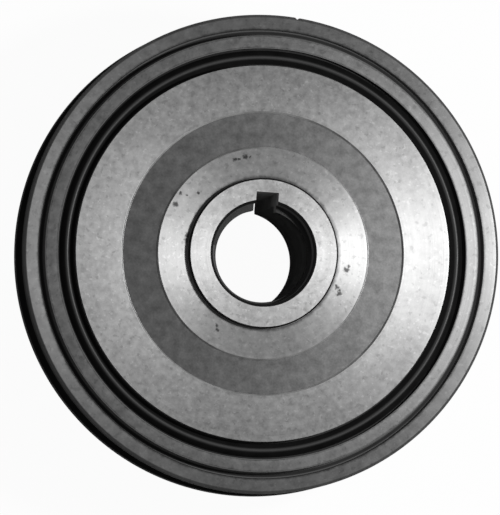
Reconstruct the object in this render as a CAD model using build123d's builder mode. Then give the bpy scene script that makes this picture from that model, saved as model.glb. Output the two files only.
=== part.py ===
from build123d import *

import os
from math import radians, tan

# Harmonic balancer for the front end of a crankshaft.
#
# Three pieces: a keyed cast iron hub, a cast iron inertia ring with belt grooves round its rim,
# and the rubber ring that is bonded between the two and lets the inertia ring twist a little.
#
# Frame, in millimetres: Z is the crankshaft's axis and points forwards, away from the engine.
# Z = 0 is the rear end of the hub's nose, which rests against the timing gear. +Y runs through
# the middle of the keyway.

# ------------------------------------------------------------------- driving dimensions
RING_DIAMETER = 170.0  # over the two belt flanges
RING_WIDTH = 28.0  # rear face to front flange face
NOSE_LENGTH = 29.0  # the seal journal stands this far behind the ring

SHAFT_DIAMETER = 36.0  # crankshaft nose
KEY_WIDTH = 8.0
KEYWAY_FLOOR = 21.7  # from the axis to the keyway's floor

# Lip inside the bore, which the crankshaft's nose stops at. It keeps the hole as cast, and the
# casting's core had slipped a little, away from the keyway.
LIP_HOLE_DIAMETER = 32.8
LIP_CORE_SHIFT = 0.75
LIP_RECESS = 5.5  # lip below the washer seat
LIP_LENGTH = 6.0

SEAL_DIAMETER = 52.0  # where the front oil seal runs
BOSS_DIAMETER = 53.4  # washer seat at the front
BOSS_HEIGHT = 2.4  # above the hub's front lands

HUB_DIAMETER = 133.4  # where the rubber is bonded on
RUBBER_THICKNESS = 6.1
HUB_REAR_INSET = 2.0  # hub flange starts this far in front of the ring's rear face

LAND_STEP = 1.0  # hub's front lands stand this far above the ring's raised land
RING_STEP = 2.3  # the ring's raised land stands this far above the front flange
RING_LAND_FALL = 0.3  # the raised land falls this much from its inner to its outer edge

# Cast band left unmachined between the hub's two turned lands
BAND_INNER_DIAMETER = 74.8
BAND_OUTER_DIAMETER = 100.8
BAND_DEPTH = 0.9

# Cast pocket behind the web
POCKET_INNER_DIAMETER = 64.0
POCKET_OUTER_DIAMETER = 113.0
WEB_THICKNESS = 11.0
DRAFT_ANGLE = 6.0
POCKET_CHAMFER = 3.0

# Groove turned at the foot of the ring's raised land
FACE_GROOVE_INNER_DIAMETER = 155.0
FACE_GROOVE_WIDTH = 1.95
FACE_GROOVE_DEPTH = 1.6  # below the front flange

# Ribbed belt track
RIB_COUNT = 6
RIB_PITCH = 3.56
RIB_ANGLE = 40.0
RIB_DEPTH = 3.2
FLANGE_HEIGHT = 2.2  # flanges stand this far above the ribs' tips

# Rubber bead that swells out between hub and ring at the front
BEAD_HEIGHT = 1.7
BEAD_FOOT_WIDTH = 4.9
BEAD_CREST_WIDTH = 2.0
BEAD_RECESS = 0.7  # crest below the ring's raised land

# Timing notch in the front flange, clockwise from the keyway as seen from the front
NOTCH_OFFSET_ANGLE = 4.8
NOTCH_DEPTH = 0.8

# Edge breaks
RING_CHAMFER = 0.9
BOSS_CHAMFER = 0.6
BORE_CHAMFER = 1.0
SEAL_LEAD_LENGTH = 3.0
SEAL_LEAD_HEIGHT = 1.1

# ------------------------------------------------------------------- worked out from those
ring_radius = RING_DIAMETER / 2
bore_radius = SHAFT_DIAMETER / 2
seal_radius = SEAL_DIAMETER / 2
boss_radius = BOSS_DIAMETER / 2
hub_radius = HUB_DIAMETER / 2
rubber_radius = hub_radius + RUBBER_THICKNESS

ring_rear = NOSE_LENGTH
ring_front = ring_rear + RING_WIDTH
raised_land = ring_front + RING_STEP
hub_rear = ring_rear + HUB_REAR_INSET
hub_land = raised_land + LAND_STEP
hub_front = hub_land + BOSS_HEIGHT
lip_rear = hub_front - LIP_RECESS - LIP_LENGTH

pocket_inner_radius = POCKET_INNER_DIAMETER / 2
pocket_outer_radius = POCKET_OUTER_DIAMETER / 2
pocket_floor = hub_land - WEB_THICKNESS
pocket_draft = (pocket_floor - hub_rear) * tan(radians(DRAFT_ANGLE))

band_inner_radius = BAND_INNER_DIAMETER / 2
band_outer_radius = BAND_OUTER_DIAMETER / 2
band_run_out = BAND_DEPTH / 2


def rims(part, radius):
    """Circular edges of one radius, from the rearmost to the foremost."""
    circles = part.edges().filter_by(GeomType.CIRCLE)
    return circles.filter_by(lambda edge: abs(edge.radius - radius) < 0.01).sort_by(Axis.Z)


# ------------------------------------------------------------------- hub
with BuildPart() as hub:
    # Turned outline: nose, shoulder, flange, front land and washer boss
    with BuildSketch(Plane.XZ):
        with BuildLine():
            Polyline(
                (bore_radius, 0),
                (seal_radius - SEAL_LEAD_HEIGHT, 0),
                (seal_radius, SEAL_LEAD_LENGTH),
                (seal_radius, hub_rear),
                (hub_radius, hub_rear),
                (hub_radius, hub_land),
                (boss_radius, hub_land),
                (boss_radius, hub_front),
                (bore_radius, hub_front),
                close=True,
            )
        make_face()
    revolve(axis=Axis.Z)

    # Cast pocket behind the web, drafted so that the casting leaves its mould
    with BuildSketch(Plane.XZ) as pocket:
        with BuildLine():
            Polyline(
                (pocket_inner_radius, hub_rear),
                (pocket_outer_radius, hub_rear),
                (pocket_outer_radius - pocket_draft, pocket_floor),
                (pocket_inner_radius + pocket_draft, pocket_floor),
                close=True,
            )
        make_face()
        chamfer(pocket.vertices().group_by(Axis.Z)[-1], POCKET_CHAMFER)
    revolve(axis=Axis.Z, mode=Mode.SUBTRACT)

    # Cast band sunk between the two turned front lands
    with BuildSketch(Plane.XZ):
        with BuildLine():
            Polyline(
                (band_inner_radius, hub_land),
                (band_outer_radius, hub_land),
                (band_outer_radius - band_run_out, hub_land - BAND_DEPTH),
                (band_inner_radius + band_run_out, hub_land - BAND_DEPTH),
                close=True,
            )
        make_face()
    revolve(axis=Axis.Z, mode=Mode.SUBTRACT)

    # Edge breaks, before the keyway interrupts the bore's ends
    chamfer(rims(hub, bore_radius), BORE_CHAMFER)
    chamfer(rims(hub, boss_radius)[-1], BOSS_CHAMFER)

    # Lip inside the bore
    with BuildSketch(Plane.XY.offset(lip_rear)):
        Circle(bore_radius)
        with Locations((0, -LIP_CORE_SHIFT)):
            Circle(LIP_HOLE_DIAMETER / 2, mode=Mode.SUBTRACT)
    extrude(amount=LIP_LENGTH)

    # Keyway, broached from end to end
    with BuildSketch(Plane.XY):
        Rectangle(KEY_WIDTH, KEYWAY_FLOOR, align=(Align.CENTER, Align.MIN))
    extrude(amount=hub_front, mode=Mode.SUBTRACT)

# ------------------------------------------------------------------- inertia ring
groove_inner_radius = FACE_GROOVE_INNER_DIAMETER / 2
groove_outer_radius = groove_inner_radius + FACE_GROOVE_WIDTH
groove_floor = ring_front - FACE_GROOVE_DEPTH

rib_tip_radius = ring_radius - FLANGE_HEIGHT
rib_middle = (ring_rear + ring_front) / 2
mouth_half = RIB_DEPTH * tan(radians(RIB_ANGLE / 2))
track_half = ((RIB_COUNT - 1) * RIB_PITCH) / 2 + mouth_half

with BuildPart() as inertia_ring:
    # Blank, with the raised land and the face groove at its foot
    with BuildSketch(Plane.XZ):
        with BuildLine():
            Polyline(
                (rubber_radius, ring_rear),
                (ring_radius, ring_rear),
                (ring_radius, ring_front),
                (groove_outer_radius, ring_front),
                (groove_outer_radius, groove_floor),
                (groove_inner_radius, groove_floor),
                (groove_inner_radius, raised_land - RING_LAND_FALL),
                (rubber_radius, raised_land),
                close=True,
            )
        make_face()
    revolve(axis=Axis.Z)

    chamfer(rims(inertia_ring, ring_radius), RING_CHAMFER)

    # Belt track: a shallow channel between the flanges, then the grooves between the ribs
    with BuildSketch(Plane.XZ):
        with Locations((rib_tip_radius, rib_middle)):
            Rectangle(FLANGE_HEIGHT, 2 * track_half, align=(Align.MIN, Align.CENTER))
            with GridLocations(0, RIB_PITCH, 1, RIB_COUNT):
                Polygon((0, mouth_half), (-RIB_DEPTH, 0), (0, -mouth_half), align=None)
    revolve(axis=Axis.Z, mode=Mode.SUBTRACT)

    # Timing notch across the front flange
    notch_length = RING_WIDTH / 2 - track_half
    with BuildSketch(Plane.XY.offset(ring_front)):
        with PolarLocations(ring_radius, 1, start_angle=90 - NOTCH_OFFSET_ANGLE):
            RegularPolygon(NOTCH_DEPTH, 4)
    extrude(amount=-notch_length, mode=Mode.SUBTRACT)

# ------------------------------------------------------------------- rubber ring
rubber_middle = (hub_radius + rubber_radius) / 2
front_crest = raised_land - BEAD_RECESS
front_foot = front_crest - BEAD_HEIGHT

with BuildPart() as rubber_ring:
    with BuildSketch(Plane.XZ):
        # Body, bonded to the hub inside and to the inertia ring outside
        with Locations((rubber_middle, hub_rear)):
            Rectangle(RUBBER_THICKNESS, front_foot - hub_rear, align=(Align.CENTER, Align.MIN))
        # Bead that swells out at the front
        with Locations((rubber_middle, front_foot)):
            Polygon(
                (-BEAD_FOOT_WIDTH / 2, 0),
                (BEAD_FOOT_WIDTH / 2, 0),
                (BEAD_CREST_WIDTH / 2, BEAD_HEIGHT),
                (-BEAD_CREST_WIDTH / 2, BEAD_HEIGHT),
                align=None,
            )
    revolve(axis=Axis.Z)

# ------------------------------------------------------------------- STEP files
hub.part.label = "hub"
rubber_ring.part.label = "rubber_ring"
inertia_ring.part.label = "inertia_ring"

os.makedirs("parts", exist_ok=True)
export_step(hub.part, "parts/hub.step")
export_step(rubber_ring.part, "parts/rubber_ring.step")
export_step(inertia_ring.part, "parts/inertia_ring.step")
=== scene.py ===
import math

import bpy
from bpy.props import FloatProperty, FloatVectorProperty, IntProperty, PointerProperty
from mathutils import Matrix, Vector


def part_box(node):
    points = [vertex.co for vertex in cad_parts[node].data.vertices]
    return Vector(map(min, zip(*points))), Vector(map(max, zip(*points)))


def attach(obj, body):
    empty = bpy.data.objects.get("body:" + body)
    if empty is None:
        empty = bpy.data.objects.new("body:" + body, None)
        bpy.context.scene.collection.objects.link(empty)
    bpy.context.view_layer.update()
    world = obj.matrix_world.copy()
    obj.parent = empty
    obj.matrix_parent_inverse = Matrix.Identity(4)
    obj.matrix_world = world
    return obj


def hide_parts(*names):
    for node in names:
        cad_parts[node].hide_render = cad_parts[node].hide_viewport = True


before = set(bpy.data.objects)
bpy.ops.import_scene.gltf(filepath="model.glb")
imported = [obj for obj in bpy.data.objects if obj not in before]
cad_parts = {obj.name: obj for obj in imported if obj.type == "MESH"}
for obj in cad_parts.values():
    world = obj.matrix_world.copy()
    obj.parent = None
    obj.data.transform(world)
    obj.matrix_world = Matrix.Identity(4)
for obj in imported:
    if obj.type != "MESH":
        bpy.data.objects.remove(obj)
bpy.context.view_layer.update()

bl_info = {
    "name": "Harmonic balancer",
    "version": (1, 0, 0),
    "blender": (4, 5, 0),
    "location": "View3D > Sidebar > Balancer",
    "description": "Builds a crankshaft's harmonic balancer, its finishes and a plain studio",
    "category": "Add Mesh",
}

MM = 0.001
WHITE = (1.0, 1.0, 1.0)
BODY = "root"

# Corners of the CAD nodes, which set where each piece starts and ends
hub_low, hub_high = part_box("hub")
ring_low, ring_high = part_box("inertia_ring")
rubber_low, rubber_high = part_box("rubber_ring")


# ------------------------------------------------------------------- settings
def length(name, description, millimetres):
    """A length property, given in millimetres."""
    return FloatProperty(
        name=name, description=description, default=millimetres * MM, unit="LENGTH", precision=5
    )


def angle(name, description, degrees):
    """An angle property, given in degrees."""
    turned = math.radians(degrees)
    return FloatProperty(
        name=name, description=description, default=turned, subtype="ANGLE", unit="ROTATION"
    )


def count(name, description, default, least):
    """A whole number property."""
    return IntProperty(name=name, description=description, default=default, min=least)


def pixels(name, description, default):
    """A property in pixels of the render."""
    return FloatProperty(name=name, description=description, default=default, subtype="PIXEL")


def share(name, description, default):
    """A property between 0 and 1."""
    return FloatProperty(
        name=name, description=description, default=default, min=0, max=1, subtype="FACTOR"
    )


def grey(name, description, level):
    """A neutral colour property."""
    return FloatVectorProperty(
        name=name, description=description, default=(level,) * 3, min=0, max=1, subtype="COLOR"
    )


class HubSettings(bpy.types.PropertyGroup):
    radius: length("Radius", "Flange that the rubber is bonded to", 66.7)
    bore_radius: length("Bore radius", "Bore for the crankshaft's nose", 18.0)
    bore_chamfer: length("Bore chamfer", "Chamfer at both ends of the bore", 1.0)
    key_width: length("Key width", "Width of the keyway", 8.0)
    key_floor: length("Keyway floor", "Distance from the axis to the keyway's floor", 21.7)
    lip_hole_radius: length("Lip hole radius", "Cast hole through the lip inside the bore", 16.4)
    lip_core_shift: length("Lip core shift", "That hole off the axis, away from the keyway", 0.75)
    lip_recess: length("Lip recess", "Lip below the washer boss", 5.5)
    lip_length: length("Lip length", "Length of the lip along the axis", 6.0)
    seal_radius: length("Seal radius", "Journal that the front oil seal runs on", 26.0)
    seal_lead_length: length("Seal lead length", "Taper that leads the seal on, lengthwise", 3.0)
    seal_lead_height: length("Seal lead height", "Taper that leads the seal on, radially", 1.1)
    boss_radius: length("Boss radius", "Washer boss at the front", 26.7)
    boss_height: length("Boss height", "Washer boss above the front lands", 2.4)
    boss_chamfer: length("Boss chamfer", "Chamfer round the boss", 0.6)
    band_inner_radius: length("Band inner radius", "Inner edge of the cast band", 37.4)
    band_outer_radius: length("Band outer radius", "Outer edge of the cast band", 50.4)
    band_depth: length("Band depth", "Cast band below the turned lands", 0.9)
    web_thickness: length("Web thickness", "Web in front of the cast pocket", 11.0)
    pocket_inner_radius: length("Pocket inner radius", "Foot of the pocket's inner wall", 32.0)
    pocket_outer_radius: length("Pocket outer radius", "Foot of the pocket's outer wall", 56.5)
    pocket_draft: length("Pocket draft", "How far each wall leans in over the pocket's depth", 1.8)
    pocket_round: length("Pocket round", "Rounding at the bottom of the pocket", 3.0)
    pocket_steps: count("Pocket steps", "Segments across that rounding", 6, 1)
    rear_inset: length("Rear inset", "Flange in front of the inertia ring's rear face", 2.0)
    edge_break: length("Edge break", "Rounding left on the hub's edges", 0.12)


class RubberSettings(bpy.types.PropertyGroup):
    bead_width: length("Bead width", "Width of the bead at its foot", 4.9)
    bead_height: length("Bead height", "Height of the bead over its gutters", 1.7)
    bead_round: length("Bead round", "Radius of the bead's crest, which its flanks run up to", 1.3)
    bead_steps: count("Bead steps", "Segments across the bead's crest", 14, 4)


class RingSettings(bpy.types.PropertyGroup):
    radius: length("Radius", "Outside of the two flanges", 85.0)
    bore_radius: length("Bore radius", "Bore that the rubber is bonded to", 72.8)
    chamfer: length("Chamfer", "Chamfer on the flanges' outer edges", 0.9)
    land_step: length("Land step", "Raised land above the front flange", 2.3)
    land_fall: length("Land fall", "How much the raised land falls towards its outer edge", 0.3)
    groove_inner_radius: length("Groove inner radius", "Outer wall of the raised land", 77.5)
    groove_width: length("Groove width", "Groove at the foot of the raised land", 1.95)
    groove_depth: length("Groove depth", "Groove below the front flange", 1.6)
    rib_count: count("Ribs", "Grooves of the belt track", 6, 1)
    rib_pitch: length("Rib pitch", "Distance from one groove to the next", 3.56)
    rib_depth: length("Rib depth", "Depth of the belt grooves", 3.2)
    rib_angle: angle("Rib angle", "Angle between a groove's flanks", 40)
    flange_height: length("Flange height", "Flanges above the ribs", 2.2)
    notch_depth: length("Notch depth", "Depth of the timing notch", 0.8)
    notch_angle: angle("Notch angle", "Timing notch, clockwise from the keyway", 4.8)
    edge_break: length("Edge break", "Rounding left on the ring's edges", 0.3)


class FinishSettings(bpy.types.PropertyGroup):
    boss: grey("Boss", "Colour of the washer boss", 0.62)
    inner_land: grey("Inner land", "Colour of the land round the boss and of the journal", 0.325)
    outer_land: grey("Outer land", "Colour of the turned land next to the rubber", 0.27)
    raised_land: grey("Raised land", "Colour of the inertia ring's raised land", 0.14)
    flange: grey("Flange", "Colour of the inertia ring's front flange and rear face", 0.15)
    cast: grey("Cast iron", "Colour of the hub's cast skin", 0.142)
    run_out: grey("Run-out", "Colour of the matt slopes beside the cast band", 0.25)
    chamfer: grey("Chamfer", "Colour of the dull chamfers round the inertia ring", 0.13)
    keyway: grey("Keyway", "Colour of the broached keyway", 0.26)
    bore: grey("Bore", "Colour of the dull wall of the bore", 0.12)
    lip: grey("Lip", "Colour of the cast lip inside the bore", 0.032)
    # the face groove is painted dark as its shade
    groove: grey("Face groove", "Colour of the groove in the inertia ring's front", 0.015)
    # real oxide on the belt track, and painted shade on the boss's side and on the bore's chamfers
    oxide_and_shade: grey("Dark oxide", "Colour of the belt track, bore chamfers and boss's side", 0.01)
    rubber: grey("Rubber", "Colour of the damper's rubber", 0.006)


class StageSettings(bpy.types.PropertyGroup):
    camera_distance: length("Camera distance", "From the front flange to the camera", 5000.0)
    camera_tilt: angle("Camera tilt", "How far the view leans off the shaft's axis", 8.45)
    camera_lean: angle("Camera lean", "Where the front leans, anticlockwise from the right", 21.0)
    camera_roll: angle("Camera roll", "Turn of the keyway, clockwise from upright", 4.2)
    sensor_width: length("Sensor width", "Width of the camera's sensor", 36.0)
    nearest: length("Nearest", "Distance at which the camera starts to see", 50.0)
    farthest: length("Farthest", "Distance at which the camera stops seeing", 50000.0)
    render_width: pixels("Render width", "Width of the render", 500)
    render_height: pixels("Render height", "Height of the render", 515)
    axis_across: pixels("Axis across", "The shaft's axis, from the render's left edge", 261.5)
    axis_down: pixels("Axis down", "The shaft's axis, from the render's top edge", 254.0)
    flange_width: pixels("Flange width", "Diameter of the front flange in the render", 480.08)
    floor_radius: length("Floor radius", "Radius of the floor", 9000.0)
    floor_sweep: length("Floor sweep", "How far the floor's edge sweeps up", 600.0)
    floor_edge: share("Floor edge", "Part of the floor's radius that sweeps up", 0.3)
    floor_glow: share("Floor glow", "How far the floor is plain white to the camera", 0.96)
    floor_level: share("Floor level", "Brightness of the floor in the part's surfaces", 0.8)
    key_azimuth: angle("Key azimuth", "Direction of the key lamp, anticlockwise from +X", 10.1)
    key_elevation: angle("Key elevation", "Height of the key lamp above the floor", 57.0)
    key_distance: length("Key distance", "From the hub's front to the key lamp", 500.0)
    key_width: length("Key width", "Diameter of the key lamp", 80.0)
    key_power: FloatProperty(
        name="Key power", description="Power of the key lamp", default=2.25, unit="POWER"
    )
    world_level: share("World level", "Brightness of the room around the part", 0.22)


# ------------------------------------------------------------------- modelling helpers
TURN_STEPS = 360
FLOOR_STEPS = 96
MERGE_DISTANCE = 0.002 * MM
SPARE = 1 * MM  # how far a cutter stands out of what it cuts
NEAR = 0.05 * MM  # slack where a face is told by its place
LEVEL = 0.95  # a face is level from this share of its normal along Z
SLANTED = 0.3  # it is slanted from this share
UPRIGHT = 0.1  # and it is upright below this one


def deselect():
    """Clears the selection and leaves edit mode."""
    if bpy.context.object and bpy.context.object.mode != "OBJECT":
        bpy.ops.object.mode_set(mode="OBJECT")
    bpy.ops.object.select_all(action="DESELECT")


def activate(piece):
    """Makes a piece the only selected and active object."""
    deselect()
    piece.select_set(True)
    bpy.context.view_layer.objects.active = piece


def turn(name, outline):
    """Turns a closed outline of (radius, height) corners about Z, one extruded ring at a time."""
    deselect()
    radius, height = outline[0]
    bpy.ops.mesh.primitive_circle_add(vertices=TURN_STEPS, radius=radius, location=(0, 0, 0))
    piece = bpy.context.object
    piece.name = piece.data.name = name
    bpy.ops.object.mode_set(mode="EDIT")
    bpy.ops.mesh.select_all(action="SELECT")
    bpy.ops.transform.translate(value=(0, 0, height))
    for next_radius, next_height in outline[1:] + outline[:1]:
        grow = next_radius / radius
        climb = (0, 0, next_height - height)
        bpy.ops.mesh.extrude_edges_move(TRANSFORM_OT_translate={"value": climb})
        bpy.ops.transform.resize(value=(grow, grow, 1), center_override=(0, 0, next_height))
        radius, height = next_radius, next_height
    bpy.ops.mesh.select_all(action="SELECT")
    bpy.ops.mesh.remove_doubles(threshold=MERGE_DISTANCE)
    bpy.ops.mesh.normals_make_consistent(inside=False)
    bpy.ops.object.mode_set(mode="OBJECT")
    return piece


def arc(middle, radius, start, end, steps):
    """Corners along an arc in an outline, from one angle in degrees to another."""
    across, up = middle
    corners = []
    for step in range(steps + 1):
        turned = math.radians(start + (end - start) * step / steps)
        corners.append((across + radius * math.cos(turned), up + radius * math.sin(turned)))
    return corners


def break_edges(piece, width, segments=2, degrees=20):
    """Rounds a piece's edges above an angle a little, as deburring does."""
    activate(piece)
    bpy.ops.object.modifier_add(type="BEVEL")
    bevel = piece.modifiers[-1]
    bevel.width = width
    bevel.segments = segments
    bevel.limit_method = "ANGLE"
    bevel.angle_limit = math.radians(degrees)
    bpy.ops.object.modifier_apply(modifier=bevel.name)


def cut(piece, cutter):
    """Cuts one closed mesh out of another, and deletes the cutter."""
    activate(piece)
    bpy.ops.object.modifier_add(type="BOOLEAN")
    difference = piece.modifiers[-1]
    difference.operation = "DIFFERENCE"
    difference.solver = "EXACT"
    difference.object = cutter
    bpy.ops.object.modifier_apply(modifier=difference.name)
    bpy.data.objects.remove(cutter)


def smooth(piece, degrees=30, flatness=100):
    """Smooth shading that keeps the flats flat, with the edges above an angle left sharp."""
    activate(piece)
    bpy.ops.object.shade_smooth_by_angle(angle=math.radians(degrees))
    bpy.ops.object.modifier_add(type="WEIGHTED_NORMAL")
    weighted = piece.modifiers[-1]
    weighted.keep_sharp = True
    weighted.weight = flatness
    bpy.ops.object.modifier_apply(modifier=weighted.name)


def paint(piece, finishes, choose):
    """Gives a piece its finishes; choose(radius, height, normal) names the one of each face."""
    slots = {name: index for index, name in enumerate(finishes)}
    for material in finishes.values():
        piece.data.materials.append(material)
    for face in piece.data.polygons:
        radius = math.hypot(face.center.x, face.center.y)
        face.material_index = slots[choose(radius, face.center.z, face.normal)]


# ------------------------------------------------------------------- finishes
PIT_RIM = (0.2, 0.75)  # shares of a pit's size between which it fades out
MARKS = (0.62, 0.68)  # noise at which dents and rubs start, and at which they are full
ALONG_RINGS = 0.25  # quarter turn that lays the sheen along the turning marks
SHADE_COVER = 0.85  # how far the painted shade at edges hides the metal under it
PIT_AND_SHADE_LEVEL = 0.2  # brightness of pits and of the painted shade, as a share of the clean metal's
GROOVE_SIDE_GAIN = 8.0  # brightness of a groove's sides, in times its middle's, which is painted darkest as the groove's shade
CREST_HIGHLIGHT_GAIN = 5.5  # brightness of the painted highlight on the bead's crest, in times its flanks'


class Value:
    """A number that varies over a surface. Arithmetic on it adds Math nodes."""

    def __init__(self, finish, socket):
        self.finish = finish
        self.socket = socket

    def math(self, operation, *others):
        """The result of a Math node's operation on this value and others."""
        sockets = dict(enumerate((self,) + others))
        node = self.finish.node("ShaderNodeMath", {"operation": operation}, sockets)
        return Value(self.finish, node.outputs[0])

    def __add__(self, other):
        return self.math("ADD", other)

    def __sub__(self, other):
        return self.math("SUBTRACT", other)

    def __mul__(self, other):
        return self.math("MULTIPLY", other)

    def __pow__(self, other):
        return self.math("POWER", other)

    def __rsub__(self, other):
        return self * -1.0 + other

    def clamp(self, low, high):
        """The value, kept between low and high."""
        return self.math("MAXIMUM", low).math("MINIMUM", high)

    def swing(self, reach):
        """Noise made to swing about zero: from -reach / 2 to reach / 2."""
        return (self - 0.5) * reach

    def off(self, middle):
        """Distance from a middle value."""
        return (self - middle).math("ABSOLUTE")

    def step(self, low, high):
        """0 below low, 1 above high, and a smooth rise between them."""
        settings = {"interpolation_type": "SMOOTHSTEP"}
        sockets = {"Value": self, "From Min": low, "From Max": high, "To Min": 0.0, "To Max": 1.0}
        node = self.finish.node("ShaderNodeMapRange", settings, sockets)
        return Value(self.finish, node.outputs["Result"])


class Finish:
    """A material under construction."""

    def __init__(self, name):
        self.material = bpy.data.materials.new(name)
        self.material.use_nodes = True
        self.tree = self.material.node_tree
        self.tree.nodes.clear()
        self.output = self.node("ShaderNodeOutputMaterial")

    def node(self, kind, settings=None, sockets=None):
        """Adds a node, sets its settings, then the values or links of its sockets."""
        node = self.tree.nodes.new(kind)
        for name, value in (settings or {}).items():
            setattr(node, name, value)
        for name, value in (sockets or {}).items():
            socket = node.inputs[name]
            if isinstance(value, Value):
                value = value.socket
            if isinstance(value, bpy.types.NodeSocket):
                self.tree.links.new(value, socket)
            else:
                socket.default_value = value
        return node

    def place(self):
        """Object coordinates in millimetres: x, y, z and the distance from the axis."""
        coordinates = self.node("ShaderNodeTexCoord").outputs["Object"]
        split = self.node("ShaderNodeSeparateXYZ", sockets={"Vector": coordinates})
        x, y, z = (Value(self, split.outputs[axis]) * (1 / MM) for axis in range(3))
        return x, y, z, (x * x + y * y) ** 0.5

    def vector(self, x, y, z):
        """Three values as one vector."""
        return self.node("ShaderNodeCombineXYZ", sockets={0: x, 1: y, 2: z}).outputs[0]

    def noise(self, spot, per_mm, detail=2.0, roughness=0.5):
        """Noise about 0.5, the same in all directions."""
        sockets = {"Vector": spot, "Scale": per_mm, "Detail": detail, "Roughness": roughness}
        return Value(self, self.node("ShaderNodeTexNoise", sockets=sockets).outputs[0])

    def rings(self, radius, per_mm, detail=2.0):
        """Noise that depends on the distance from the axis alone."""
        settings = {"noise_dimensions": "1D"}
        sockets = {"W": radius, "Scale": per_mm, "Detail": detail}
        return Value(self, self.node("ShaderNodeTexNoise", settings, sockets).outputs[0])

    def pits(self, x, y, places, ragged=2.4):
        """Near 1 inside ragged pits; each place is its radius, angle in degrees and size."""
        across = self.noise(self.vector(x, y, 0.0), per_mm=0.8, detail=4.0).swing(ragged)
        along = self.noise(self.vector(y, x, 0.0), per_mm=0.7, detail=4.0).swing(ragged)
        flat = self.vector(x + across, y + along, 0.0)
        inside = x * 0.0
        for radius, direction, size in places:
            turned = math.radians(direction)
            middle = (radius * math.cos(turned), radius * math.sin(turned), 0.0)
            gap = self.node("ShaderNodeVectorMath", {"operation": "DISTANCE"}, {0: flat, 1: middle})
            start, end = (size * rim for rim in PIT_RIM)
            outside = Value(self, gap.outputs["Value"]).step(start, end)
            inside = inside.math("MAXIMUM", 1.0 - outside)
        return inside

    def mix(self, factor, first, second):
        """From the first colour at 0 to the second at 1."""
        sockets = {0: factor, 6: first, 7: second}
        return self.node("ShaderNodeMix", {"data_type": "RGBA"}, sockets).outputs[2]

    def shades(self, tone, colour, darkest, lightest):
        """A colour from its darkest share at tone 0 to its lightest at tone 1."""
        return self.mix(tone, shade(colour, darkest), shade(colour, lightest))

    def bump(self, height, depth):
        """Normal of a surface that rises by depth millimetres as height goes from 0 to 1."""
        sockets = {"Height": height, "Distance": depth * MM}
        return self.node("ShaderNodeBump", sockets=sockets).outputs[0]

    def surface(self, **sockets):
        """Ends the material in a Principled shader; underscores stand for spaces."""
        named = {name.replace("_", " "): value for name, value in sockets.items()}
        shader = self.node("ShaderNodeBsdfPrincipled", sockets=named)
        self.tree.links.new(shader.outputs[0], self.output.inputs[0])
        return self.material


def shade(colour, factor):
    """A colour made lighter or darker, with its alpha."""
    return tuple(min(1.0, channel * factor) for channel in colour) + (1.0,)


def turned_iron(name, colour, roughness, anisotropy, stain=1.0, pits=(), painted_shade=(), shade_falloff=()):
    """Iron faced on a lathe: fine rings, a wandering film of oil, stains, dents, rubs and pits.

    Painted shade darkens the face towards the edges listed, each as its radius and the shade's
    reach.
    Shade falloff is painted shade for the lamp's light falling off: the radius where the face
    starts to darken, the one where that ends, and how much.
    """
    finish = Finish(name)
    x, y, z, radius = finish.place()
    spot = finish.vector(x, y, z)
    feed = finish.rings(radius, per_mm=2.6, detail=3.0)
    chatter = finish.rings(radius, per_mm=0.35)
    film = finish.noise(spot, per_mm=0.055, detail=4.0, roughness=0.6)
    grain = finish.noise(spot, per_mm=0.9, detail=3.0)
    stains = finish.noise(spot, per_mm=0.33, detail=5.0, roughness=0.72)
    dents = finish.noise(spot, per_mm=0.5).step(*MARKS)
    rubs = finish.noise(spot, per_mm=0.7).step(*MARKS)
    wear_and_shade = film.swing(0.7) + chatter.swing(0.3) + stains.swing(stain) + (rubs - dents) * 0.3
    # painted shade: the face darkens between two radii, as the lamp's light falls off
    if shade_falloff:
        start, end, loss = shade_falloff
        wear_and_shade = wear_and_shade - radius.step(start, end) * loss
    tone = (wear_and_shade + 0.5).clamp(0.0, 1.0)
    clean = finish.shades(tone, colour, darkest=0.7, lightest=1.3)
    dull = finish.pits(x, y, pits)
    # painted shade: the face darkens towards the edges listed, where shade falls beside steps and
    # grooves
    for edge, reach in painted_shade:
        gap = radius.off(edge) + stains.swing(reach)
        dull = dull.math("MAXIMUM", (1.0 - gap.step(0.0, reach)) * SHADE_COVER)
    return finish.surface(
        Base_Color=finish.mix(dull, clean, shade(colour, PIT_AND_SHADE_LEVEL)),
        Metallic=1.0,
        Roughness=feed.swing(0.1) + stains.swing(0.2) + roughness,
        Anisotropic=anisotropy,
        Anisotropic_Rotation=ALONG_RINGS,
        Normal=finish.bump(feed * 0.7 + grain * 0.3, depth=0.006),
    )


def cast_iron(name, colour, roughness, depth):
    """As-cast skin: fine sand grain and soft blotches, the same in all directions."""
    finish = Finish(name)
    x, y, z, _ = finish.place()
    spot = finish.vector(x, y, z)
    sand = finish.noise(spot, per_mm=1.3, detail=4.0, roughness=0.65)
    blotch = finish.noise(spot, per_mm=0.3, detail=5.0, roughness=0.6)
    tone = (sand.swing(1.1) + blotch.swing(1.2) + 0.5).clamp(0.0, 1.0)
    return finish.surface(
        Base_Color=finish.shades(tone, colour, darkest=0.75, lightest=1.25),
        Metallic=1.0,
        Roughness=blotch.swing(0.12) + roughness,
        Normal=finish.bump(sand, depth),
    )


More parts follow.
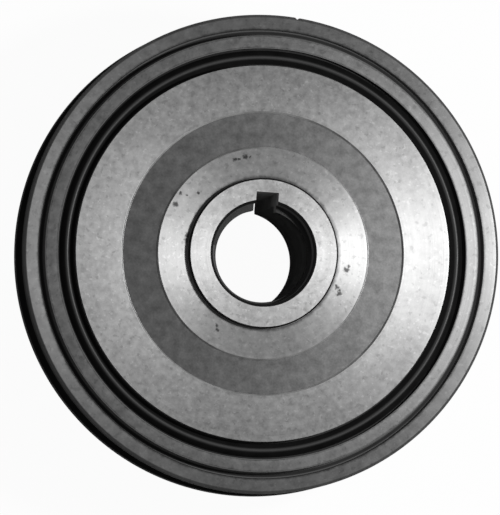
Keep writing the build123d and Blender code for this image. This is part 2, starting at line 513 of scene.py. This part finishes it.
def dark_oxide(name, colour, groove_shade=()):
    """Iron that was left dull: oxide and old oil in the bore and the belt track; in the face groove
    and on the boss's side and chamfers the dark colour is painted shade.

    Groove shade is the middle and half the width of a groove, painted darkest in its middle as its
    shade and lighter up its sides.
    """
    finish = Finish(name)
    x, y, z, radius = finish.place()
    spot = finish.vector(x, y, z)
    film = finish.noise(spot, per_mm=0.15, detail=4.0)
    skin = finish.noise(spot, per_mm=1.5, detail=3.0)
    tone = (film.swing(1.6) + 0.5).clamp(0.0, 1.0)
    oil_and_shade = finish.shades(tone, colour, darkest=0.6, lightest=1.6)
    # painted shade: the groove is darkest in its middle and lighter up its sides
    if groove_shade:
        middle, half = groove_shade
        side = radius.off(middle).step(half * 0.3, half)
        oil_and_shade = finish.mix(side, oil_and_shade, shade(colour, GROOVE_SIDE_GAIN))
    return finish.surface(
        Base_Color=oil_and_shade,
        Roughness=film.swing(0.2) + 0.6,
        Specular_IOR_Level=0.1,
        Normal=finish.bump(skin, depth=0.01),
    )


def damper_rubber(name, colour, crest):
    """Black rubber with a slight sheen, and a painted highlight as a lighter band along the bead's
    crest.
    """
    finish = Finish(name)
    x, y, z, radius = finish.place()
    spot = finish.vector(x, y, z)
    bloom = finish.noise(spot, per_mm=0.2, detail=4.0)
    skin = finish.noise(spot, per_mm=1.0, detail=3.0)
    clean = finish.shades(bloom, colour, darkest=0.6, lightest=1.5)
    # painted highlight: a lighter band along the bead's crest
    crest_highlight = 1.0 - radius.off(crest).step(0.2, 0.9)
    return finish.surface(
        Base_Color=finish.mix(crest_highlight, clean, shade(colour, CREST_HIGHLIGHT_GAIN)),
        Roughness=bloom.swing(0.2) + 0.4,
        Specular_IOR_Level=0.2,
        Normal=finish.bump(skin, depth=0.02),
    )


# Small pits in the land round the boss, the last two a dark mark beside the boss's foot on its
# left: distance from the axis, angle in degrees from +X, size
HUB_PITS = (
    (34.8, 110.6, 1.5), (34.3, 108.3, 1.1), (34.8, 104.0, 1.6), (34.3, 101.6, 0.8),
    (35.6, 154.9, 1.9), (36.2, 148.3, 1.1), (33.9, 147.0, 0.9), (31.3, 141.2, 0.9),
    (30.4, 241.6, 1.3), (31.6, 243.1, 1.0), (30.5, 353.4, 1.9), (30.9, 355.6, 1.1),
    (28.9, 340.2, 1.4), (30.6, 336.6, 1.7), (30.3, 339.0, 1.2), (27.5, 171.0, 2.0),
    (27.3, 175.0, 2.2),
)

# Where the painted shade and the painted highlight on the bead lie, in millimetres
BOSS_SHADOW_REACH = 1.6  # reach of the painted shadow from the foot of the boss
LAND_EDGE_SHADE = 0.9  # reach of the painted shade from both edges of the raised land
FLANGE_EDGE_SHADE = 1.2  # reach of the painted shade from the inner edge of the flange
OUTER_LAND_SHADE_FALLOFF = (52.0, 63.0, 0.22)  # painted shade as the lamp's light falls off: radius where it starts, radius where it ends, share lost
CREST_HIGHLIGHT_SHIFT = 0.15  # the painted highlight lies a little inside the bead's middle
NOSE_RIM = 2 * MM  # turned rim round the dark end of the nose


# ------------------------------------------------------------------- operators
class BALANCER_OT_hub(bpy.types.Operator):
    """Turn the hub, cut its keyway and give it its finishes"""

    bl_idname = "balancer.hub"
    bl_label = "Hub"

    def execute(self, context):
        size = context.scene.balancer_hub
        finish = context.scene.balancer_finish
        front = hub_high.z
        land = front - size.boss_height
        band = land - size.band_depth
        slope = size.band_depth / 2
        rear = ring_low.z + size.rear_inset
        pocket = land - size.web_thickness
        inner_foot = size.pocket_inner_radius + size.pocket_draft
        outer_foot = size.pocket_outer_radius - size.pocket_draft
        corner = size.pocket_round
        lip_front = front - size.lip_recess
        lip_rear = lip_front - size.lip_length
        lip_blank = size.lip_hole_radius - 2 * size.lip_core_shift
        key_corner = math.hypot(size.key_floor, size.key_width / 2)
        nose_end = size.seal_radius - NOSE_RIM
        band_middle = (size.band_inner_radius + size.band_outer_radius) / 2
        web_middle = (pocket + land) / 2
        outline = [
            (size.bore_radius, size.bore_chamfer),
            (size.bore_radius + size.bore_chamfer, 0),
            (size.seal_radius - size.seal_lead_height, 0),
            (size.seal_radius, size.seal_lead_length),
            (size.seal_radius, rear),
            (size.pocket_inner_radius, rear),
        ]
        outline += arc((inner_foot + corner, pocket - corner), corner, 180, 90, size.pocket_steps)
        outline += arc((outer_foot - corner, pocket - corner), corner, 90, 0, size.pocket_steps)
        outline += [
            (size.pocket_outer_radius, rear),
            (size.radius, rear),
            (size.radius, land),
            (size.band_outer_radius, land),
            (size.band_outer_radius - slope, band),
            (size.band_inner_radius + slope, band),
            (size.band_inner_radius, land),
            (size.boss_radius, land),
            (size.boss_radius, front - size.boss_chamfer),
            (size.boss_radius - size.boss_chamfer, front),
            (size.bore_radius + size.bore_chamfer, front),
            (size.bore_radius, front - size.bore_chamfer),
            (size.bore_radius, lip_front),
            (lip_blank, lip_front),
            (lip_blank, lip_rear),
            (size.bore_radius, lip_rear),
        ]
        hub = turn("hub_casting", outline)
        break_edges(hub, size.edge_break)
        cut(hub, self.core(size, lip_rear, lip_front))
        cut(hub, self.keyway(size, front))
        smooth(hub)
        # painted shadow of the boss, darkening the land round its foot
        boss_shadow = ((size.boss_radius / MM, BOSS_SHADOW_REACH),)
        finishes = {
            "boss": turned_iron(
                "boss_iron", finish.boss, roughness=0.7, anisotropy=0.79, stain=2.0
            ),
            "inner_land": turned_iron(
                "inner_land_iron", finish.inner_land, roughness=0.48, anisotropy=0.69, stain=1.3,
                pits=HUB_PITS, painted_shade=boss_shadow,
            ),
            "outer_land": turned_iron(
                "outer_land_iron", finish.outer_land, roughness=0.44, anisotropy=0.47, stain=1.6,
                shade_falloff=OUTER_LAND_SHADE_FALLOFF,
            ),
            "turned": turned_iron(
                "turned_hub_iron", finish.inner_land, roughness=0.45, anisotropy=0.6
            ),
            "band": cast_iron("cast_band_iron", finish.cast, roughness=0.31, depth=0.008),
            "run_out": dark_oxide("run_out_iron", finish.run_out),
            "cast": cast_iron("cast_hub_iron", finish.cast, roughness=0.45, depth=0.05),
            "lip": cast_iron("cast_lip_iron", finish.lip, roughness=0.45, depth=0.03),
            "keyway": dark_oxide("keyway_iron", finish.keyway),
            "bore": dark_oxide("bore_wall_iron", finish.bore),
            # painted shade: the boss's side and chamfers and the bore's chamfers are given the dark
            # oxide so that they read as shade
            "dark": dark_oxide("painted_shade_boss_iron", finish.oxide_and_shade),
        }

        def choose(radius, height, normal):
            level = normal.z > LEVEL
            if radius < size.bore_radius - NEAR:
                return "lip"
            if abs(normal.z) < UPRIGHT and size.bore_radius + NEAR < radius < key_corner:
                return "keyway"
            if radius < size.bore_radius + NEAR and height < front - size.bore_chamfer:
                return "bore"
            if height > land + NEAR or radius < nose_end:
                return "boss" if level and radius > size.bore_radius + size.bore_chamfer else "dark"
            if height > land - NEAR and level:
                return "inner_land" if radius < band_middle else "outer_land"
            if size.pocket_inner_radius < radius < size.pocket_outer_radius and height > rear:
                if height < web_middle:
                    return "cast"
                return "band" if level else "run_out"
            return "turned"

        paint(hub, finishes, choose)
        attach(hub, BODY)
        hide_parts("hub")
        return {"FINISHED"}

    def core(self, size, lip_rear, lip_front):
        """The sand core that leaves the hole in the lip."""
        deselect()
        depth = size.lip_length + 2 * SPARE
        bpy.ops.mesh.primitive_cylinder_add(
            vertices=TURN_STEPS, radius=size.lip_hole_radius, depth=depth, location=(0, 0, 0)
        )
        core = bpy.context.object
        bpy.ops.object.mode_set(mode="EDIT")
        bpy.ops.mesh.select_all(action="SELECT")
        bpy.ops.transform.translate(value=(0, -size.lip_core_shift, (lip_rear + lip_front) / 2))
        bpy.ops.object.mode_set(mode="OBJECT")
        return core

    def keyway(self, size, front):
        """The bar of metal that the broach takes out."""
        deselect()
        bpy.ops.mesh.primitive_cube_add(size=1, location=(0, 0, 0))
        bar = bpy.context.object
        bpy.ops.object.mode_set(mode="EDIT")
        bpy.ops.mesh.select_all(action="SELECT")
        bpy.ops.transform.resize(value=(size.key_width, size.key_floor, front + 2 * SPARE))
        bpy.ops.transform.translate(value=(0, size.key_floor / 2, front / 2))
        bpy.ops.object.mode_set(mode="OBJECT")
        return bar


class BALANCER_OT_rubber_ring(bpy.types.Operator):
    """Turn the rubber ring with the bead that swells out at its front"""

    bl_idname = "balancer.rubber_ring"
    bl_label = "Rubber ring"

    def execute(self, context):
        size = context.scene.balancer_rubber
        inner = context.scene.balancer_hub.radius
        outer = context.scene.balancer_ring.bore_radius
        middle = (inner + outer) / 2
        half = size.bead_width / 2
        crest = rubber_high.z
        foot = crest - size.bead_height
        rise = size.bead_height - size.bead_round
        flank = math.acos(size.bead_round / math.hypot(half, rise)) - math.atan2(rise, half)
        start = math.degrees(flank)
        outline = [(inner, rubber_low.z), (outer, rubber_low.z)]
        outline += [(outer, foot), (middle + half, foot)]
        outline += arc((middle, foot + rise), size.bead_round, start, 180 - start, size.bead_steps)
        outline += [(middle - half, foot), (inner, foot)]
        rubber = turn("rubber_bead", outline)
        smooth(rubber, degrees=40)
        colour = context.scene.balancer_finish.rubber
        # middle of the painted highlight on the bead's crest
        highlight_middle = middle / MM - CREST_HIGHLIGHT_SHIFT
        rubber.data.materials.append(damper_rubber("damper_rubber", colour, highlight_middle))
        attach(rubber, BODY)
        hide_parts("rubber_ring")
        return {"FINISHED"}


class BALANCER_OT_inertia_ring(bpy.types.Operator):
    """Turn the inertia ring with its stepped front and belt grooves, and cut its timing notch"""

    bl_idname = "balancer.inertia_ring"
    bl_label = "Inertia ring"

    def execute(self, context):
        size = context.scene.balancer_ring
        finish = context.scene.balancer_finish
        rear = ring_low.z
        land = ring_high.z
        front = land - size.land_step
        step_middle = (land + front) / 2
        groove_outer = size.groove_inner_radius + size.groove_width
        groove_floor = front - size.groove_depth
        tip = size.radius - size.flange_height
        root = tip - size.rib_depth
        mouth_half = size.rib_depth * math.tan(size.rib_angle / 2)
        first = (rear + front) / 2 - (size.rib_count - 1) * size.rib_pitch / 2
        track_low = first - mouth_half
        track_high = first + (size.rib_count - 1) * size.rib_pitch + mouth_half
        outline = [
            (size.bore_radius, rear),
            (size.radius - size.chamfer, rear),
            (size.radius, rear + size.chamfer),
            (size.radius, track_low),
        ]
        for rib in range(size.rib_count):
            middle = first + rib * size.rib_pitch
            outline += [(tip, middle - mouth_half), (root, middle), (tip, middle + mouth_half)]
        outline += [
            (size.radius, track_high),
            (size.radius, front - size.chamfer),
            (size.radius - size.chamfer, front),
            (groove_outer, front),
            (groove_outer, groove_floor),
            (size.groove_inner_radius, groove_floor),
            (size.groove_inner_radius, land - size.land_fall),
            (size.bore_radius, land),
        ]
        ring = turn("inertia_casting", outline)
        break_edges(ring, size.edge_break)
        cut(ring, self.notch(size, front, track_high))
        smooth(ring)
        # painted shade of the face groove: darkest in its middle
        groove_half = size.groove_width / 2
        shaded_groove = ((size.groove_inner_radius + groove_half) / MM, groove_half / MM)
        # painted shade: the raised land darkens towards both its edges and the flange towards the
        # groove
        edges = (size.bore_radius, size.groove_inner_radius)
        land_edge_shade = [(edge / MM, LAND_EDGE_SHADE) for edge in edges]
        flange_edge_shade = ((groove_outer / MM, FLANGE_EDGE_SHADE),)
        facing = {"roughness": 0.44, "anisotropy": 0.61, "stain": 1.2}
        finishes = {
            "raised_land": turned_iron(
                "raised_land_iron", finish.raised_land, roughness=0.47, anisotropy=0.3, stain=1.8,
                painted_shade=land_edge_shade,
            ),
            "flange": turned_iron("flange_iron", finish.flange, painted_shade=flange_edge_shade, **facing),
            "rear": turned_iron("ring_rear_iron", finish.flange, **facing),
            "chamfer": turned_iron("chamfer_iron", finish.chamfer, roughness=0.8, anisotropy=0.0),
            "groove": dark_oxide("face_groove_iron", finish.groove, groove_shade=shaded_groove),
            "dark": dark_oxide("dark_ring_iron", finish.oxide_and_shade),
        }

        def choose(radius, height, normal):
            if normal.z > LEVEL and height > step_middle:
                return "raised_land"
            if height > groove_floor - NEAR and radius < groove_outer + NEAR:
                return "groove"
            if SLANTED < abs(normal.z) < LEVEL and radius > size.radius - size.chamfer:
                return "chamfer"
            if normal.z < -LEVEL and height < rear + NEAR:
                return "rear"
            if normal.z > LEVEL and height > front - NEAR:
                return "flange"
            return "dark"

        paint(ring, finishes, choose)
        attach(ring, BODY)
        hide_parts("inertia_ring")
        return {"FINISHED"}

    def notch(self, size, front, track_high):
        """The square bar, on its edge, that leaves a V in the front flange."""
        deselect()
        height = 2 * (front - track_high)
        bpy.ops.mesh.primitive_cylinder_add(
            vertices=4, radius=size.notch_depth, depth=height, location=(0, 0, 0)
        )
        bar = bpy.context.object
        turn_by = math.pi / 2 - size.notch_angle
        bpy.ops.object.mode_set(mode="EDIT")
        bpy.ops.mesh.select_all(action="SELECT")
        bpy.ops.transform.rotate(value=-turn_by, orient_axis="Z", center_override=(0, 0, 0))
        place = Vector((math.cos(turn_by), math.sin(turn_by), 0)) * size.radius
        bpy.ops.transform.translate(value=(place.x, place.y, front))
        bpy.ops.object.mode_set(mode="OBJECT")
        return bar


class BALANCER_OT_stage(bpy.types.Operator):
    """Lay the floor, hang the lamp and set up the camera"""

    bl_idname = "balancer.stage"
    bl_label = "Stage"

    def execute(self, context):
        size = context.scene.balancer_stage
        self.floor(size)
        self.room(context, size)
        self.camera(context, size)
        self.key_lamp(context, size)
        context.scene.view_settings.view_transform = "Standard"
        return {"FINISHED"}

    def floor(self, size):
        """A pale disc whose edge sweeps up a little all round."""
        deselect()
        bpy.ops.mesh.primitive_circle_add(
            vertices=FLOOR_STEPS, radius=size.floor_radius, fill_type="NGON", location=(0, 0, 0)
        )
        floor = bpy.context.object
        floor.name = floor.data.name = "studio_floor"
        bpy.ops.object.mode_set(mode="EDIT")
        bpy.ops.mesh.select_all(action="SELECT")
        bpy.ops.mesh.inset(thickness=size.floor_radius * size.floor_edge)
        bpy.ops.mesh.select_all(action="DESELECT")
        bpy.ops.object.mode_set(mode="OBJECT")
        for vertex in floor.data.vertices:
            vertex.select = vertex.co.length > size.floor_radius * (1 - size.floor_edge / 2)
        bpy.ops.object.mode_set(mode="EDIT")
        bpy.ops.transform.translate(value=(0, 0, size.floor_sweep))
        bpy.ops.object.mode_set(mode="OBJECT")
        finish = Finish("white_floor")
        rays = finish.node("ShaderNodeLightPath").outputs
        seen = Value(finish, rays["Is Camera Ray"])
        pale, white = shade(WHITE, size.floor_level), shade(WHITE, 1.0)
        paper = finish.node("ShaderNodeBsdfDiffuse", sockets={"Color": pale})
        glow = finish.node("ShaderNodeEmission", sockets={"Color": white, "Strength": 1.0})
        sockets = {0: seen * size.floor_glow, 1: paper.outputs[0], 2: glow.outputs[0]}
        mixed = finish.node("ShaderNodeMixShader", sockets=sockets)
        finish.tree.links.new(mixed.outputs[0], finish.output.inputs[0])
        floor.data.materials.append(finish.material)

    def room(self, context, size):
        """A plain dim room all round."""
        world = bpy.data.worlds.new("studio_room")
        world.use_nodes = True
        background = world.node_tree.nodes["Background"]
        background.inputs["Color"].default_value = shade(WHITE, 1.0)
        background.inputs["Strength"].default_value = size.world_level
        context.scene.world = world

    def camera(self, context, size):
        """Looks down on the front face, a little off the shaft's axis."""
        ring = context.scene.balancer_ring
        flange = Vector((0, 0, ring_high.z - ring.land_step))
        lean = Vector((-math.sin(size.camera_lean), math.cos(size.camera_lean), 0))
        tilt = Matrix.Rotation(-size.camera_tilt, 4, lean)
        turned = Matrix.Rotation(size.camera_roll, 4, "Z") @ tilt
        pixel = 2 * ring.radius / size.flange_width
        across = (size.render_width / 2 - size.axis_across) * pixel
        down = (size.axis_down - size.render_height / 2) * pixel
        aside = turned @ Vector((across, down, size.camera_distance))
        data = bpy.data.cameras.new("studio_camera")
        data.sensor_width = size.sensor_width / MM
        data.lens = data.sensor_width * size.camera_distance / (pixel * size.render_height)
        data.clip_start = size.nearest
        data.clip_end = size.farthest
        camera = bpy.data.objects.new("studio_camera", data)
        context.collection.objects.link(camera)
        camera.matrix_world = Matrix.Translation(flange + aside) @ turned
        context.scene.camera = camera

    def key_lamp(self, context, size):
        """A soft round lamp, high on the side that the front leans to, aimed at the hub's front."""
        raised = Matrix.Rotation(-size.key_elevation, 3, "Y") @ Vector((1, 0, 0))
        away = Matrix.Rotation(size.key_azimuth, 3, "Z") @ raised
        data = bpy.data.lights.new("key_lamp", "AREA")
        data.shape = "DISK"
        data.size = size.key_width
        data.energy = size.key_power
        lamp = bpy.data.objects.new("key_lamp", data)
        context.collection.objects.link(lamp)
        lamp.location = Vector((0, 0, hub_high.z)) + away * size.key_distance
        lamp.rotation_euler = (-away).to_track_quat("-Z", "Y").to_euler()
        lamp.visible_camera = False


class BALANCER_PT_panel(bpy.types.Panel):
    """Lists the balancer's operators"""

    bl_label = "Balancer"
    bl_idname = "BALANCER_PT_panel"
    bl_space_type = "VIEW_3D"
    bl_region_type = "UI"
    bl_category = "Balancer"

    def draw(self, context):
        column = self.layout.column()
        for operator in OPERATORS:
            column.operator(operator.bl_idname)


SETTINGS = {
    "balancer_hub": HubSettings,
    "balancer_rubber": RubberSettings,
    "balancer_ring": RingSettings,
    "balancer_finish": FinishSettings,
    "balancer_stage": StageSettings,
}
OPERATORS = (BALANCER_OT_hub, BALANCER_OT_rubber_ring, BALANCER_OT_inertia_ring, BALANCER_OT_stage)


def register():
    for name, group in SETTINGS.items():
        bpy.utils.register_class(group)
        setattr(bpy.types.Scene, name, PointerProperty(type=group))
    for operator in OPERATORS:
        bpy.utils.register_class(operator)
    bpy.utils.register_class(BALANCER_PT_panel)


def unregister():
    bpy.utils.unregister_class(BALANCER_PT_panel)
    for operator in reversed(OPERATORS):
        bpy.utils.unregister_class(operator)
    for name, group in reversed(SETTINGS.items()):
        delattr(bpy.types.Scene, name)
        bpy.utils.unregister_class(group)


def main():
    register()
    bpy.ops.balancer.hub()
    bpy.ops.balancer.rubber_ring()
    bpy.ops.balancer.inertia_ring()
    bpy.ops.balancer.stage()


if __name__ == "__main__":
    main()
